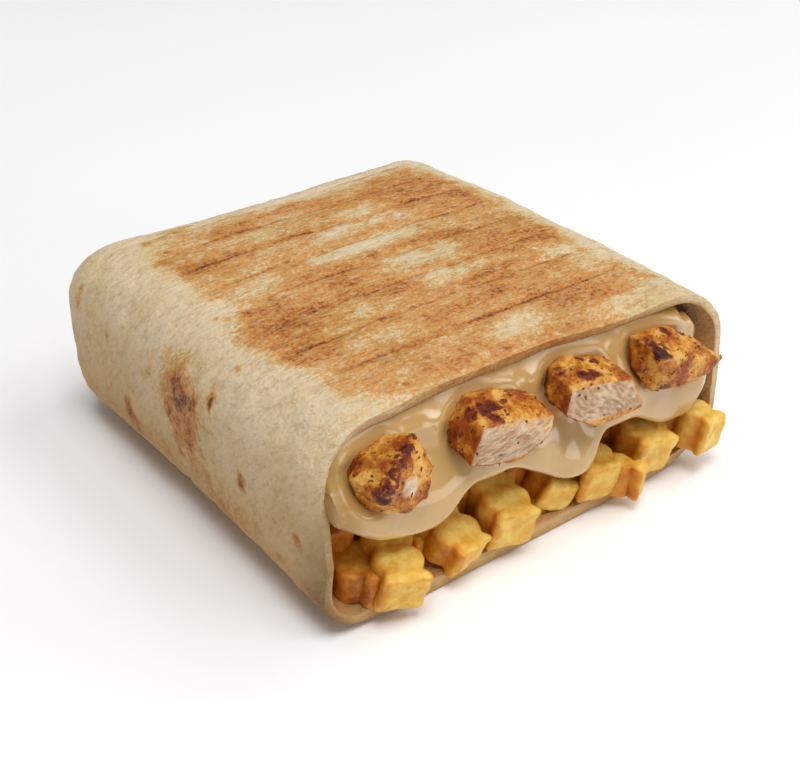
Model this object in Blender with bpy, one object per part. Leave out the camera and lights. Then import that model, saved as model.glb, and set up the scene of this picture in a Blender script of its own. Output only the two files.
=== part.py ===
# French tacos: a pressed tortilla pocket, open at the front, filled with crinkle fries,
# cheese sauce and chicken. Lengths are in metres, +Z is up and the mouth faces -Y.
# While the pieces are shaped, y = 0 is the foot of the mouth and z = 0 the underside.

import math

import bmesh
import bpy
from mathutils import Euler, Matrix, Vector

MM = 0.001

# The pocket
WIDTH = 140 * MM
DEPTH = 142.5 * MM
HEIGHT = 58 * MM
WALL = 5.2 * MM
SIDE_RADIUS = 18 * MM
BACK_RADIUS = 16 * MM
TOP_RADIUS = 17 * MM
BOTTOM_RADIUS = 17 * MM
RIM_ROUND = 2.3 * MM
RIM_SEGMENTS = 3

# How the filling and the press bend the plain block
DOME = 2.2 * MM
BACK_SAG = 1.2 * MM
SIDE_BULGE = 2.0 * MM
LIP_REACH = 1.9 * MM
LEFT_LEAN = 7.0 * MM
RIGHT_LEAN = 3.5 * MM
RIGHT_FLARE = 2.4 * MM
LEFT_TUCK = 3.6 * MM
TUCK_DEPTH = 55 * MM
LEFT_WAIST = 1.0 * MM
# The lowest share of the height keeps its width, and the tuck comes in over the next share
FOOT_SHARE = 0.12
TUCK_FADE = 0.25

# How finely a rounded block is divided: cells per edge, and of those the cells in a corner
CELLS = 11
CORNER_CELLS = 3

# Free space between neighbours that touch
GAP = 0.4 * MM
TINY = 0.001 * MM

# How far past the mouth the fillings may reach
PAST_MOUTH = 14 * MM

# The fries' core and the sauce above it meet at this height
LAYER_HEIGHT = 20.5 * MM
CORE_FRONT = 9 * MM

# Crinkle fries
RIDGE_PITCH = 8 * MM
RIDGE_DEPTH = 1.9 * MM
# Each visible fry in millimetres and degrees: the middle of its front end, then its length,
# width and height, then its yaw, pitch and roll
FRIES = {
    "left_low": ((-48.5, 1.5, 10.8), (13, 9.5, 9), (50, 8, 0)),
    "left_high": ((-59, 9, 19.5), (18, 12, 10), (2, 6, 0)),
    "left_front": ((-49.5, -7.5, 10.8), (27, 11.5, 10), (-12, 13, 12)),
    "left_tucked": ((-32, 6, 8.8), (20, 9.5, 8), (30, 6, 0)),
    "steep": ((-24.5, -4.5, 8.2), (20, 12, 8), (14, 24, 0)),
    "centre": ((-10, -5.5, 11.2), (26, 11, 10.5), (-8, 12, 7)),
    "turned": ((9.5, -1, 10), (19, 11.5, 8), (-6, 12, 22)),
    "under": ((4, 1.5, 6.2), (20, 8, 5), (10, 0, 0)),
    "right_centre": ((22.5, -5, 11.4), (26, 11.5, 10), (-6, 9, 9)),
    "upright": ((34.5, -8, 11), (22, 7, 10.5), (30, 6, 0)),
    "right_front": ((45.5, -5, 11.4), (26, 11.5, 10.5), (-4, 11, 6)),
    "right_end": ((64.5, -8.5, 13.3), (28, 10, 10), (10, 6, 6)),
}

# The sauce's lower edge where it hangs at the mouth: x and z of its highest and lowest points
SAUCE_EDGE = (
    (-70, 40), (-61, 30.5), (-46, 24.5), (-38, 23.8), (-22, 30.5), (-14, 29), (12, 17.4),
    (15, 17.4), (24.5, 27.2), (33, 27.4), (52, 19.6), (57, 19.4), (66, 27), (70, 30),
)
# Its front in millimetres: the crest as y and depth under the pocket's top, then the lip
# as y and height over the lower edge; the face between them is straight
SAUCE_CREST = ((6.5, 4), (4.9, 7), (3.2, 9))
SAUCE_LIP = ((-2.9, 2.4), (-2.3, 0.7), (-0.6, 0))
SAUCE_FACE_STEPS = 4
SAUCE_SHELF_Y = 7 * MM
SAUCE_SHELF_RUN = 4 * MM
SAUCE_STATIONS = 33
# The sauce is shaped this much too large, before the pocket's inside trims it
SAUCE_OVERSIZE = 4 * MM
# Near a side wall the sauce draws back into the pocket
SAUCE_RECEDE = 6 * MM
SAUCE_RECEDE_FROM = 57 * MM

# Chicken pieces: the corners of each lump in millimetres, as x, y, z
CHICKEN = {
    "chicken_1": (
        (-41.5, -2.5, 55), (-51.5, -8.5, 52), (-55.5, -10, 47), (-48.5, -7.5, 36),
        (-41.5, -8, 38.5), (-37.5, -6, 45), (-58.5, 1, 46), (-54.5, 2, 50), (-46, 3, 51.5),
        (-56.5, -1, 38.5), (-53, -5, 36.5),
    ),
    "chicken_2": (
        (-27.5, -8, 41.5), (-24.5, -8, 51.5), (-15.5, -7, 51), (-2.5, -8.5, 47), (-6, -11, 43),
        (-14.5, -8.5, 37.5), (-28.5, 0, 44), (-26.5, 2, 48), (-20.5, 3, 53), (-12, 4, 52),
        (-4, 0, 50), (0, -5, 43),
    ),
    "chicken_3": (
        (4.5, -8, 43.5), (5.5, -8, 51), (11.5, -7, 51.5), (25, -9.5, 47.5), (27.5, -11.5, 40.5),
        (21, -10, 37.5), (14, -8.5, 36.5), (5, 0, 45), (7.5, 2, 51), (13.5, 3, 53), (25, 1, 49.5),
        (29.5, -4, 43.5), (31, -9, 36.2),
    ),
    "chicken_4": (
        (38, -10, 50), (43.5, -9, 40), (36, -1, 52.5), (36, -1, 44), (39, -5.5, 37), (50, 2, 50),
        (58.5, -1, 45), (63.5, -10.5, 40), (57, -10, 37.5), (45.5, -10, 37.7),
    ),
}
# The half of a lump that the sauce hides: its corners lie this far behind the shown ones
CHICKEN_DEPTH = 7 * MM
CHICKEN_TAPER = 0.7
CHICKEN_CUTS = 2
CHICKEN_SMOOTH = 2
CHICKEN_SWELL = 1.1
POCKET_SCALE = 1.05


def material(name, colour, roughness):
    """A Principled material with one colour and roughness."""
    made = bpy.data.materials.new(name)
    made.use_nodes = True
    shader = made.node_tree.nodes["Principled BSDF"]
    shader.inputs["Base Color"].default_value = (*colour, 1.0)
    shader.inputs["Roughness"].default_value = roughness
    shader.inputs["Metallic"].default_value = 0.0
    made.diffuse_color = (*colour, 1.0)
    return made


def add_object(name, bm, surface=None):
    """Turns a bmesh into a linked object of that name."""
    bmesh.ops.recalc_face_normals(bm, faces=bm.faces)
    mesh = bpy.data.meshes.new(name)
    bm.to_mesh(mesh)
    bm.free()
    obj = bpy.data.objects.new(name, mesh)
    bpy.context.scene.collection.objects.link(obj)
    if surface:
        mesh.materials.append(surface)
    return obj


def shade_round(obj, angle):
    """Smooth shading that keeps edges sharper than the angle."""
    obj.data.shade_smooth()
    obj.data.set_sharp_from_angle(angle=math.radians(angle))


def apply_modifiers(obj):
    """Replaces an object's mesh by its evaluated one."""
    depsgraph = bpy.context.evaluated_depsgraph_get()
    mesh = bpy.data.meshes.new_from_object(obj.evaluated_get(depsgraph), depsgraph=depsgraph)
    obj.modifiers.clear()
    obj.data = mesh


def cut(obj, operation, other=None, collection=None):
    """Applies one Boolean with an object or with a collection, then removes what it used."""
    boolean = obj.modifiers.new(operation.lower(), "BOOLEAN")
    boolean.operation = operation
    boolean.solver = "EXACT"
    if collection:
        boolean.operand_type = "COLLECTION"
        boolean.collection = collection
    else:
        boolean.object = other
    apply_modifiers(obj)
    used = list(collection.objects) if collection else [other]
    for helper in used:
        bpy.data.objects.remove(helper)
    if collection:
        bpy.data.collections.remove(collection)


def gathered(name, objects):
    """A linked collection that holds just these objects."""
    collection = bpy.data.collections.new(name)
    bpy.context.scene.collection.children.link(collection)
    for obj in objects:
        bpy.context.scene.collection.objects.unlink(obj)
        collection.objects.link(obj)
    return collection


def eased(x, points):
    """Height at x on a line that swings smoothly through the points."""
    if x <= points[0][0]:
        return points[0][1]
    for (x0, z0), (x1, z1) in zip(points, points[1:]):
        if x <= x1:
            share = 0.5 - 0.5 * math.cos(math.pi * (x - x0) / (x1 - x0))
            return z0 + (z1 - z0) * share
    return points[-1][1]


def stations(low, high, low_radius, high_radius):
    """Grid lines along one axis, close together in the rounded ends and even between them."""
    fan = [math.tan(math.radians(45) * i / CORNER_CELLS) for i in range(CORNER_CELLS + 1)]
    start = [low + low_radius * (1 - f) for f in reversed(fan)] if low_radius else [low]
    end = [high - high_radius * (1 - f) for f in fan] if high_radius else [high]
    middle = CELLS - (len(start) - 1) - (len(end) - 1)
    span = end[0] - start[-1]
    between = [start[-1] + span * i / middle for i in range(1, middle)]
    return start + between + end


def puff(point):
    """Bends a point of the plain block to the swollen, slightly skewed form of the real pocket."""
    x, y, z = point
    rise = z / HEIGHT
    across = 1 - (2 * x / WIDTH) ** 2
    along = min(max(y / DEPTH, 0), 1)
    to_right = min(max(0.5 + x / WIDTH, 0), 1)
    to_left = 1 - to_right
    near_mouth = max(0, 1 - max(y, 0) / TUCK_DEPTH) ** 2
    above_foot = min(max((rise - FOOT_SHARE) / TUCK_FADE, 0), 1)
    bulge = SIDE_BULGE * math.sin(math.pi * rise) * 2 * x / WIDTH
    tuck = LEFT_TUCK * near_mouth * above_foot + LEFT_WAIST * math.sin(math.pi * along) * (1 - rise)
    flare = RIGHT_FLARE * (1 - along)
    lean = LEFT_LEAN + (RIGHT_LEAN - LEFT_LEAN) * to_right ** 3
    return Vector((
        x + bulge + to_left * tuck + to_right * flare,
        y + (lean * rise - LIP_REACH) * (1 - y / DEPTH),
        z + rise * across * (DOME * math.sin(math.pi * along) - BACK_SAG * along ** 6),
    ))


def rounded_block(inset, front):
    """The pocket's form, drawn in by the inset and cut straight at the front."""
    low = (-WIDTH / 2 + inset, front, inset)
    high = (WIDTH / 2 - inset, DEPTH - inset, HEIGHT - inset)
    low_radii = (SIDE_RADIUS - inset, 0, BOTTOM_RADIUS - inset)
    high_radii = (SIDE_RADIUS - inset, BACK_RADIUS - inset, TOP_RADIUS - inset)
    lines = [stations(low[a], high[a], low_radii[a], high_radii[a]) for a in range(3)]
    bm = bmesh.new()
    bmesh.ops.create_cube(bm, size=1)
    bmesh.ops.subdivide_edges(bm, edges=bm.edges, cuts=CELLS - 1, use_grid_fill=True)
    for vert in bm.verts:
        corner = []
        reach = []
        for axis in range(3):
            value = lines[axis][round((vert.co[axis] + 0.5) * CELLS)]
            inner = min(max(value, low[axis] + low_radii[axis]), high[axis] - high_radii[axis])
            radius = low_radii[axis] if value < inner else high_radii[axis]
            corner.append((inner, radius))
            reach.append((value - inner) / radius if radius else 0.0)
        length = math.sqrt(sum(r * r for r in reach))
        scale = max(abs(r) for r in reach) / length if length > 0 else 0.0
        vert.co = [inner + radius * r * scale for (inner, radius), r in zip(corner, reach)]
    return bm


def bend_all(bm):
    """Bends every vertex to the pocket's swollen form."""
    for vert in bm.verts:
        vert.co = puff(vert.co)


def tortilla_skin(name, front, thickness):
    """A skin just inside the pocket's form, closed all round except at the mouth."""
    bm = rounded_block(0, front)
    mouth = [f for f in bm.faces if all(abs(v.co.y - front) < TINY for v in f.verts)]
    bmesh.ops.delete(bm, geom=mouth, context="FACES")
    bend_all(bm)
    skin = add_object(name, bm)
    wall = skin.modifiers.new("wall", "SOLIDIFY")
    wall.thickness = thickness
    wall.offset = -1
    wall.use_even_offset = True
    return skin


def make_tortilla():
    """The folded and pressed tortilla, its rim rounded at the mouth."""
    tortilla = tortilla_skin("tortilla", 0, WALL)
    tortilla.data.materials.append(material("toasted_tortilla", (0.69, 0.47, 0.25), 0.72))
    rim = tortilla.modifiers.new("rim", "BEVEL")
    rim.width = RIM_ROUND
    rim.segments = RIM_SEGMENTS
    rim.limit_method = "ANGLE"
    rim.angle_limit = math.radians(50)
    shade_round(tortilla, 40)
    return tortilla


def pocket_inside():
    """The room inside the pocket, carried on past the mouth, as a form to trim the sauce with."""
    bm = rounded_block(WALL + GAP, -PAST_MOUTH)
    bend_all(bm)
    return add_object("pocket_inside", bm)


def fry(name, front, size, turn, margin=0.0):
    """One crinkle-cut fry; a margin makes a plain prism that clears it."""
    length, width, height = [s * MM for s in size]
    steps = max(2, round(2 * length / RIDGE_PITCH))
    bm = bmesh.new()
    bmesh.ops.create_cube(bm, size=1)
    if not margin:
        long_edges = [e for e in bm.edges if abs(e.verts[0].co.y - e.verts[1].co.y) > 0.5]
        bmesh.ops.subdivide_edges(bm, edges=long_edges, cuts=steps - 1)
    for vert in bm.verts:
        step = round((vert.co.y + 0.5) * steps)
        ridge = 0 if margin else -RIDGE_DEPTH * (step % 2)
        vert.co.x *= width + ridge + 2 * margin
        vert.co.y = length * (vert.co.y + 0.5) + 2 * margin * vert.co.y
        vert.co.z *= height + 2 * margin
    yaw, pitch, roll = [math.radians(t) for t in turn]
    place = Matrix.Translation(Vector(front) * MM) @ Euler((pitch, roll, yaw), "XYZ").to_matrix().to_4x4()
    bmesh.ops.transform(bm, matrix=place, verts=bm.verts)
    return add_object(name, bm)


def make_fries():
    """The lower filling: a plain core deep in the pocket and every fry that shows at the mouth."""
    bm = rounded_block(WALL + GAP, CORE_FRONT)
    bend_all(bm)
    bmesh.ops.bisect_plane(
        bm, geom=bm.verts[:] + bm.edges[:] + bm.faces[:], dist=TINY,
        plane_co=(0, 0, LAYER_HEIGHT), plane_no=(0, 0, 1), clear_outer=True,
    )
    bmesh.ops.holes_fill(bm, edges=[e for e in bm.edges if e.is_boundary], sides=0)
    bmesh.ops.triangulate(bm, faces=bm.faces)
    core = add_object("fries", bm, material("fried_potato", (0.76, 0.42, 0.08), 0.55))
    pieces = [fry(name, *data) for name, data in FRIES.items()]
    cut(core, "UNION", collection=gathered("fry_pieces", pieces))
    cut(core, "DIFFERENCE", tortilla_skin("wall_clear", -GAP, WALL + GAP))
    return core


def sauce_profile(x):
    """The sauce's outline at one x: top, crest, front face, hanging lip and shelf over the fries."""
    edge = eased(x / MM, SAUCE_EDGE) * MM
    crest = [(y * MM, HEIGHT - drop * MM) for y, drop in SAUCE_CREST]
    lip = [(y * MM, edge + rise * MM) for y, rise in SAUCE_LIP]
    start = Vector(crest[-1])
    face = [start.lerp(Vector(lip[0]), i / SAUCE_FACE_STEPS) for i in range(1, SAUCE_FACE_STEPS)]
    beside = max(0, abs(x) - SAUCE_RECEDE_FROM) / (WIDTH / 2 - SAUCE_RECEDE_FROM)
    recede = SAUCE_RECEDE * beside ** 2
    top = HEIGHT + SAUCE_OVERSIZE
    back = DEPTH + SAUCE_OVERSIZE
    floor = LAYER_HEIGHT + GAP
    shelf_y = SAUCE_SHELF_Y + recede
    above = [(back, top), (crest[0][0] + recede, top)]
    front = [(y + recede, z) for y, z in crest + face + lip]
    under = [(shelf_y, max(edge, floor)), (shelf_y + SAUCE_SHELF_RUN, floor), (back, floor)]
    return above + front + under


def make_sauce():
    """The cheese sauce: it fills the upper pocket and hangs over the fries at the mouth."""
    bm = bmesh.new()
    rings = []
    reach = WIDTH / 2 + SAUCE_OVERSIZE
    for i in range(SAUCE_STATIONS):
        x = reach * (2 * i / (SAUCE_STATIONS - 1) - 1)
        rings.append([bm.verts.new((x, y, z)) for y, z in sauce_profile(x)])
    for first, second in zip(rings, rings[1:]):
        count = len(first)
        for k in range(count):
            bm.faces.new((first[k], first[(k + 1) % count], second[(k + 1) % count], second[k]))
    bm.faces.new(rings[0])
    bm.faces.new(rings[-1])
    bmesh.ops.triangulate(bm, faces=bm.faces)
    sauce = add_object("sauce", bm, material("cheese_sauce", (0.73, 0.58, 0.37), 0.3))
    cut(sauce, "INTERSECT", pocket_inside())
    helpers = [fry(name + "_clear", *data, margin=GAP) for name, data in FRIES.items()]
    helpers += [chicken_lump(name + "_clear", data, scale=POCKET_SCALE) for name, data in CHICKEN.items()]
    cut(sauce, "DIFFERENCE", collection=gathered("clearances", helpers))
    return sauce


def chicken_lump(name, corners, scale=1.0):
    """One lump of chicken: the hull of its corners, with its edges worn round."""
    shown = [Vector(c) * MM for c in corners]
    middle = sum(shown, Vector()) / len(shown)
    hidden = [middle + (c - middle) * CHICKEN_TAPER + Vector((0, CHICKEN_DEPTH, 0)) for c in shown]
    bm = bmesh.new()
    for co in shown + hidden:
        bm.verts.new(co)
    hull = bmesh.ops.convex_hull(bm, input=bm.verts)
    inner = {g for g in hull["geom_interior"] + hull["geom_unused"] if isinstance(g, bmesh.types.BMVert)}
    bmesh.ops.delete(bm, geom=list(inner), context="VERTS")
    bmesh.ops.subdivide_edges(bm, edges=bm.edges, cuts=CHICKEN_CUTS, use_grid_fill=True)
    for _ in range(CHICKEN_SMOOTH):
        bmesh.ops.smooth_vert(
            bm, verts=bm.verts, factor=0.5, use_axis_x=True, use_axis_y=True, use_axis_z=True,
        )
    middle = sum((v.co for v in bm.verts), Vector()) / len(bm.verts)
    for vert in bm.verts:
        vert.co = middle + (vert.co - middle) * CHICKEN_SWELL * scale
    bmesh.ops.triangulate(bm, faces=bm.faces)
    return add_object(name, bm)


def make_chicken():
    """The four lumps of chicken, half sunk in the sauce."""
    surface = material("grilled_chicken", (0.52, 0.25, 0.09), 0.5)
    made = []
    for name, data in CHICKEN.items():
        lump = chicken_lump(name, data)
        lump.data.materials.append(surface)
        shade_round(lump, 60)
        made.append(lump)
    return made


def centre_on_footprint(pieces):
    """Hangs the pieces on one empty that puts the middle of their footprint on the origin."""
    holder = bpy.data.objects.new("french_tacos", None)
    bpy.context.scene.collection.objects.link(holder)
    bpy.context.view_layer.update()
    depsgraph = bpy.context.evaluated_depsgraph_get()
    corners = [v.co.copy() for p in pieces for v in p.evaluated_get(depsgraph).data.vertices]
    low = [min(c[a] for c in corners) for a in range(3)]
    high = [max(c[a] for c in corners) for a in range(3)]
    holder.location = (-(low[0] + high[0]) / 2, -(low[1] + high[1]) / 2, -low[2])
    for piece in pieces:
        piece.parent = holder
    bpy.context.view_layer.update()


def main():
    for obj in list(bpy.data.objects):
        bpy.data.objects.remove(obj)
    pieces = [make_tortilla(), make_fries(), make_sauce()] + make_chicken()
    centre_on_footprint(pieces)


main()
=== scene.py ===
# French tacos: a toasted tortilla pocket with crinkle fries, cheese sauce and grilled chicken.
# Pieces are shaped in millimetres with the foot of the mouth at y = 0, then moved into the frame.
import math
import random

import bmesh
import bpy
from mathutils import Euler, Matrix, Vector, noise
from mathutils.bvhtree import BVHTree


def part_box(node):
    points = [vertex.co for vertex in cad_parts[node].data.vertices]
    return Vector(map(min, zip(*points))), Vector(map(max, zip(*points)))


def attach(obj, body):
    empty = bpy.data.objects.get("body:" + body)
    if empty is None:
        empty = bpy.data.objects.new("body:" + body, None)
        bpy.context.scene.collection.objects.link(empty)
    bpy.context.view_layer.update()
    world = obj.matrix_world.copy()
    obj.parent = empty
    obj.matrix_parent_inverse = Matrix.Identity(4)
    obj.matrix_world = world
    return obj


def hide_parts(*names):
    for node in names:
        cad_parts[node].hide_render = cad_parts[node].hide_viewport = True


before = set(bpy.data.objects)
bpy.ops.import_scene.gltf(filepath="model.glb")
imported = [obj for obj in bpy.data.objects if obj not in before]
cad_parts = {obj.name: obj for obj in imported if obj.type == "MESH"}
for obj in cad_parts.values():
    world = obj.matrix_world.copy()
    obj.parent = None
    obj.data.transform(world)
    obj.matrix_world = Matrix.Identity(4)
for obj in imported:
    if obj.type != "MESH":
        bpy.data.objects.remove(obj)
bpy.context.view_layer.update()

pocket = {
    "width": 140, "depth": 142.5, "height": 58, "wall": 5.2,
    "sideRadius": 18, "backRadius": 16, "topRadius": 17, "bottomRadius": 17,
    "dome": 2.2, "backSag": 3.0, "bulge": 2.0,
    "lipReach": 1.9, "leftLean": 7.0, "rightLean": 3.5, "rightFlare": 1.9,
    "leftTuck": 3.6, "tuckDepth": 55, "leftWaist": 2.2,
    "rightPuff": 1.4, "puffOut": 0.4,       # how the top's right edge stands up and out along its middle
    "cornerLift": 4.6, "liftOut": 0.1,      # the same at the top's left back corner
    # the mouth's two lower corners draw in, the left one less, and the foot between them a little
    "cornerTuck": 2.6, "cornerDepth": 15, "cornerFrom": 30, "cornerBack": 0.5,
    "leftLess": 0.7, "leftLessX": (52, 66),
    "footTuck": 0.28, "footDepth": 12, "footLeftX": (40, 60),
    "leftRoll": 1.4, "rollY": (-1, 8), "rollZ": (4, 22),    # the left wall's front edge rolls inwards
    "footShare": 0.12,      # share of the height that the tuck leaves alone
    "tuckFade": 0.25,
    "middleX": 1.26,        # how far the bulges put the footprint's middle from the plain block's
}

tortillaLow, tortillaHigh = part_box("tortilla")
toFrame = Matrix.Translation((
    -pocket["middleX"] / 1000, tortillaLow.y + pocket["lipReach"] / 1000, 0,
)) @ Matrix.Scale(0.001, 4)


# small helpers

def clamp(value, low=0.0, high=1.0):
    return min(max(value, low), high)


def ease(value, low, high):
    share = clamp((value - low) / (high - low))
    return share * share * (3 - 2 * share)


def wave(x, y, z, size, seed=0):
    # smooth noise from -1 to 1 whose lumps are about that size across
    return noise.noise(Vector((x / size + seed * 7.3, y / size - seed * 3.1, z / size + seed * 1.7)))


def easedLine(x, points):
    # a soft line through the listed points, level at each of them
    if x <= points[0][0]:
        return points[0][1]
    for (x0, z0), (x1, z1) in zip(points, points[1:]):
        if x <= x1:
            return z0 + (z1 - z0) * (0.5 - 0.5 * math.cos(math.pi * (x - x0) / (x1 - x0)))
    return points[-1][1]


def paint(red, green, blue):
    # a colour as seen on a screen, turned into the shader's linear values
    def linear(c):
        c = c / 255
        return c / 12.92 if c <= 0.04045 else ((c + 0.055) / 1.055) ** 2.4
    return (linear(red), linear(green), linear(blue), 1.0)


def palette(**colours):
    return {name: paint(*colour) for name, colour in colours.items()}


def gridCube(cuts):
    # a unit cube with that many cuts across x, y and z
    bm = bmesh.new()
    bmesh.ops.create_cube(bm, size=1)
    for axis in range(3):
        along = [e for e in bm.edges if abs(e.verts[0].co[axis] - e.verts[1].co[axis]) > 0.5]
        bmesh.ops.subdivide_edges(bm, edges=along, cuts=cuts[axis])
    return bm


def toMesh(name, bm):
    mesh = bpy.data.meshes.new(name)
    bm.to_mesh(mesh)
    bm.free()
    return mesh


def scratchObject(name, bm):
    # a plain object in millimetres, for modifiers to work on
    obj = bpy.data.objects.new(name, toMesh(name, bm))
    bpy.context.scene.collection.objects.link(obj)
    return obj


def toObject(name, bm, material, values=None, sharpAngle=180):
    # moves a shape made in millimetres into the frame and shades it smooth;
    # the values are lists with one number per vertex, for the material to read
    bmesh.ops.transform(bm, matrix=toFrame, verts=bm.verts)
    obj = scratchObject(name, bm)
    mesh = obj.data
    mesh.materials.append(material)
    mesh.shade_smooth()
    if sharpAngle < 180:
        mesh.set_sharp_from_angle(angle=math.radians(sharpAngle))
    for key, numbers in (values or {}).items():
        mesh.attributes.new(key, "FLOAT", "POINT").data.foreach_set("value", numbers)
    return obj


def takeResult(obj):
    # the object's evaluated mesh as a bmesh; the object goes
    depsgraph = bpy.context.evaluated_depsgraph_get()
    mesh = bpy.data.meshes.new_from_object(obj.evaluated_get(depsgraph), depsgraph=depsgraph)
    bm = bmesh.new()
    bm.from_mesh(mesh)
    bpy.data.meshes.remove(mesh)
    bpy.data.objects.remove(obj)
    return bm


def pourInto(whole, bm):
    # adds one bmesh to another
    mesh = toMesh("poured", bm)
    whole.from_mesh(mesh)
    bpy.data.meshes.remove(mesh)


def millimetreTree(obj):
    # a finished object's vertices and surface in millimetres
    verts = [toFrame.inverted() @ v.co for v in obj.data.vertices]
    return verts, BVHTree.FromPolygons(verts, [p.vertices for p in obj.data.polygons])


# shader helpers

class Shader:
    def __init__(self, name):
        self.material = bpy.data.materials.new(name)
        self.material.use_nodes = True
        self.tree = self.material.node_tree
        self.surface = self.tree.nodes["Principled BSDF"]
        self.place = self.add("TexCoord").outputs["Object"]

    def add(self, kind, inputs=None, **settings):
        made = self.tree.nodes.new("ShaderNode" + kind)
        for key, value in settings.items():
            setattr(made, key, value)
        for key, value in (inputs or {}).items():
            self.set(made.inputs[key], value)
        return made

    def set(self, socket, value):
        if isinstance(value, bpy.types.NodeSocket):
            self.tree.links.new(value, socket)
        else:
            socket.default_value = value

    def attribute(self, name):
        return self.add("Attribute", attribute_name=name).outputs["Fac"]

    def turned(self, scale=(1, 1, 1), turn=(0, 0, 0)):
        # the place turned by degrees about each axis, then stretched
        angles = tuple(math.radians(t) for t in turn)
        spun = self.add("Mapping", {"Vector": self.place, "Rotation": angles}).outputs[0]
        return self.add("Mapping", {"Vector": spun, "Scale": scale}).outputs[0]

    def noise(self, scale, detail=3.0, roughness=0.55, place=None):
        return self.add("TexNoise", {
            "Vector": place or self.place, "Scale": scale, "Detail": detail, "Roughness": roughness,
        }).outputs["Fac"]

    def math(self, operation, a, b=0.0):
        return self.add("Math", {0: a, 1: b}, operation=operation).outputs[0]

    def plus(self, a, b):
        return self.math("ADD", a, b)

    def times(self, a, b):
        return self.math("MULTIPLY", a, b)

    def range(self, value, low, high, toLow=0.0, toHigh=1.0):
        return self.add("MapRange", {
            "Value": value, "From Min": low, "From Max": high, "To Min": toLow, "To Max": toHigh,
        }, interpolation_type="SMOOTHSTEP").outputs[0]

    def swing(self, value, toLow, toHigh):
        # a noise's usual reach, from 0.3 to 0.7, spread between two values
        return self.range(value, 0.3, 0.7, toLow, toHigh)

    def specks(self, scale, chosen, size):
        # round spots in the cells whose own number lies beyond the chosen range
        cells = self.add("TexVoronoi", {"Vector": self.place, "Scale": scale, "Randomness": 1.0})
        number = self.add("SeparateColor", {"Color": cells.outputs["Color"]}).outputs[0]
        return self.times(self.range(cells.outputs["Distance"], *size, 1, 0), self.range(number, *chosen))

    def mix(self, share, a, b, mode="MIX"):
        made = self.add("Mix", data_type="RGBA", blend_type=mode)
        self.set(made.inputs[0], share)
        self.set(made.inputs[6], a)
        self.set(made.inputs[7], b)
        return made.outputs[2]

    def ramp(self, value, stops):
        made = self.add("ValToRGB", {"Fac": value})
        band = made.color_ramp
        while len(band.elements) < len(stops):
            band.elements.new(0.5)
        for element, (at, colour) in zip(band.elements, stops):
            element.position = at
            element.color = colour
        return made.outputs["Color"]

    def bump(self, height, distance, strength=1.0, onto=None):
        inputs = {"Height": height, "Distance": distance, "Strength": strength}
        if onto:
            inputs["Normal"] = onto
        return self.add("Bump", inputs).outputs["Normal"]

    def finish(self, colour, roughness, normal, **fixed):
        self.set(self.surface.inputs["Base Color"], colour)
        self.set(self.surface.inputs["Roughness"], roughness)
        self.set(self.surface.inputs["Normal"], normal)
        for name, value in fixed.items():
            self.surface.inputs[name.replace("_", " ")].default_value = value
        return self.material


# the pocket's form, shared by the tortilla, the sauce and the fries' core

def puff(point):
    x, y, z = point
    width, depth = pocket["width"], pocket["depth"]
    rise = z / pocket["height"]
    across = 1 - (2 * x / width) ** 2
    along = clamp(y / depth)
    toRight = clamp(0.5 + x / width)
    nearMouth = max(0, 1 - max(y, 0) / pocket["tuckDepth"]) ** 2
    aboveFoot = clamp((rise - pocket["footShare"]) / pocket["tuckFade"])
    bulge = pocket["bulge"] * math.sin(math.pi * rise) * 2 * x / width
    tuck = pocket["leftTuck"] * nearMouth * aboveFoot
    tuck += pocket["leftWaist"] * math.sin(math.pi * along) * (1 - rise)
    lean = pocket["leftLean"] + (pocket["rightLean"] - pocket["leftLean"]) * toRight ** 3
    swell = pocket["dome"] * math.sin(math.pi * along) - pocket["backSag"] * along ** 6
    edge = pocket["rightPuff"] * math.sin(math.pi * along) * toRight ** 4 * rise ** 2
    corner = pocket["cornerLift"] * clamp(-2 * x / width) ** 10 * along ** 5 * rise ** 2
    inward = clamp((abs(x) - pocket["cornerFrom"]) / (width / 2 - pocket["cornerFrom"]))
    inward *= clamp(1 - z / pocket["cornerDepth"]) * (1 - ease(y, 0, pocket["cornerDepth"]))
    inward *= 1 - pocket["leftLess"] * ease(-x, *pocket["leftLessX"])
    foot = pocket["footTuck"] * clamp(1 - z / pocket["footDepth"])
    foot *= 1 - ease(y, 0, pocket["footDepth"])
    foot *= 1 - ease(-x, *pocket["footLeftX"])
    inward = max(inward, foot) * pocket["cornerTuck"]
    roll = pocket["leftRoll"] * clamp(-2 * x / width) ** 6
    roll *= 1 - ease(y, *pocket["rollY"])
    roll *= ease(z, *pocket["rollZ"])
    return Vector((
        x + bulge + (1 - toRight) * tuck + toRight * pocket["rightFlare"] * (1 - along)
        + pocket["puffOut"] * edge - pocket["liftOut"] * corner + roll,
        y + (lean * rise - pocket["lipReach"]) * (1 - y / depth) + pocket["cornerBack"] * inward,
        z + rise * across * swell + edge + corner + inward,
    ))


def stops(low, high, lowRadius, highRadius, cell, firstCell=0):
    # grid lines along one axis, fanned out evenly round the corners
    def fan(radius):
        steps = max(2, round(math.pi / 4 * radius / cell))
        return [math.tan(math.pi / 4 * i / steps) for i in range(steps + 1)]
    start = [low + lowRadius * (1 - f) for f in reversed(fan(lowRadius))] if lowRadius else [low]
    end = [high - highRadius * (1 - f) for f in fan(highRadius)] if highRadius else [high]
    if firstCell:
        start.append(low + firstCell)
    steps = max(1, round((end[0] - start[-1]) / cell))
    middle = [start[-1] + (end[0] - start[-1]) * i / steps for i in range(1, steps)]
    return start + middle + end


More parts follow.
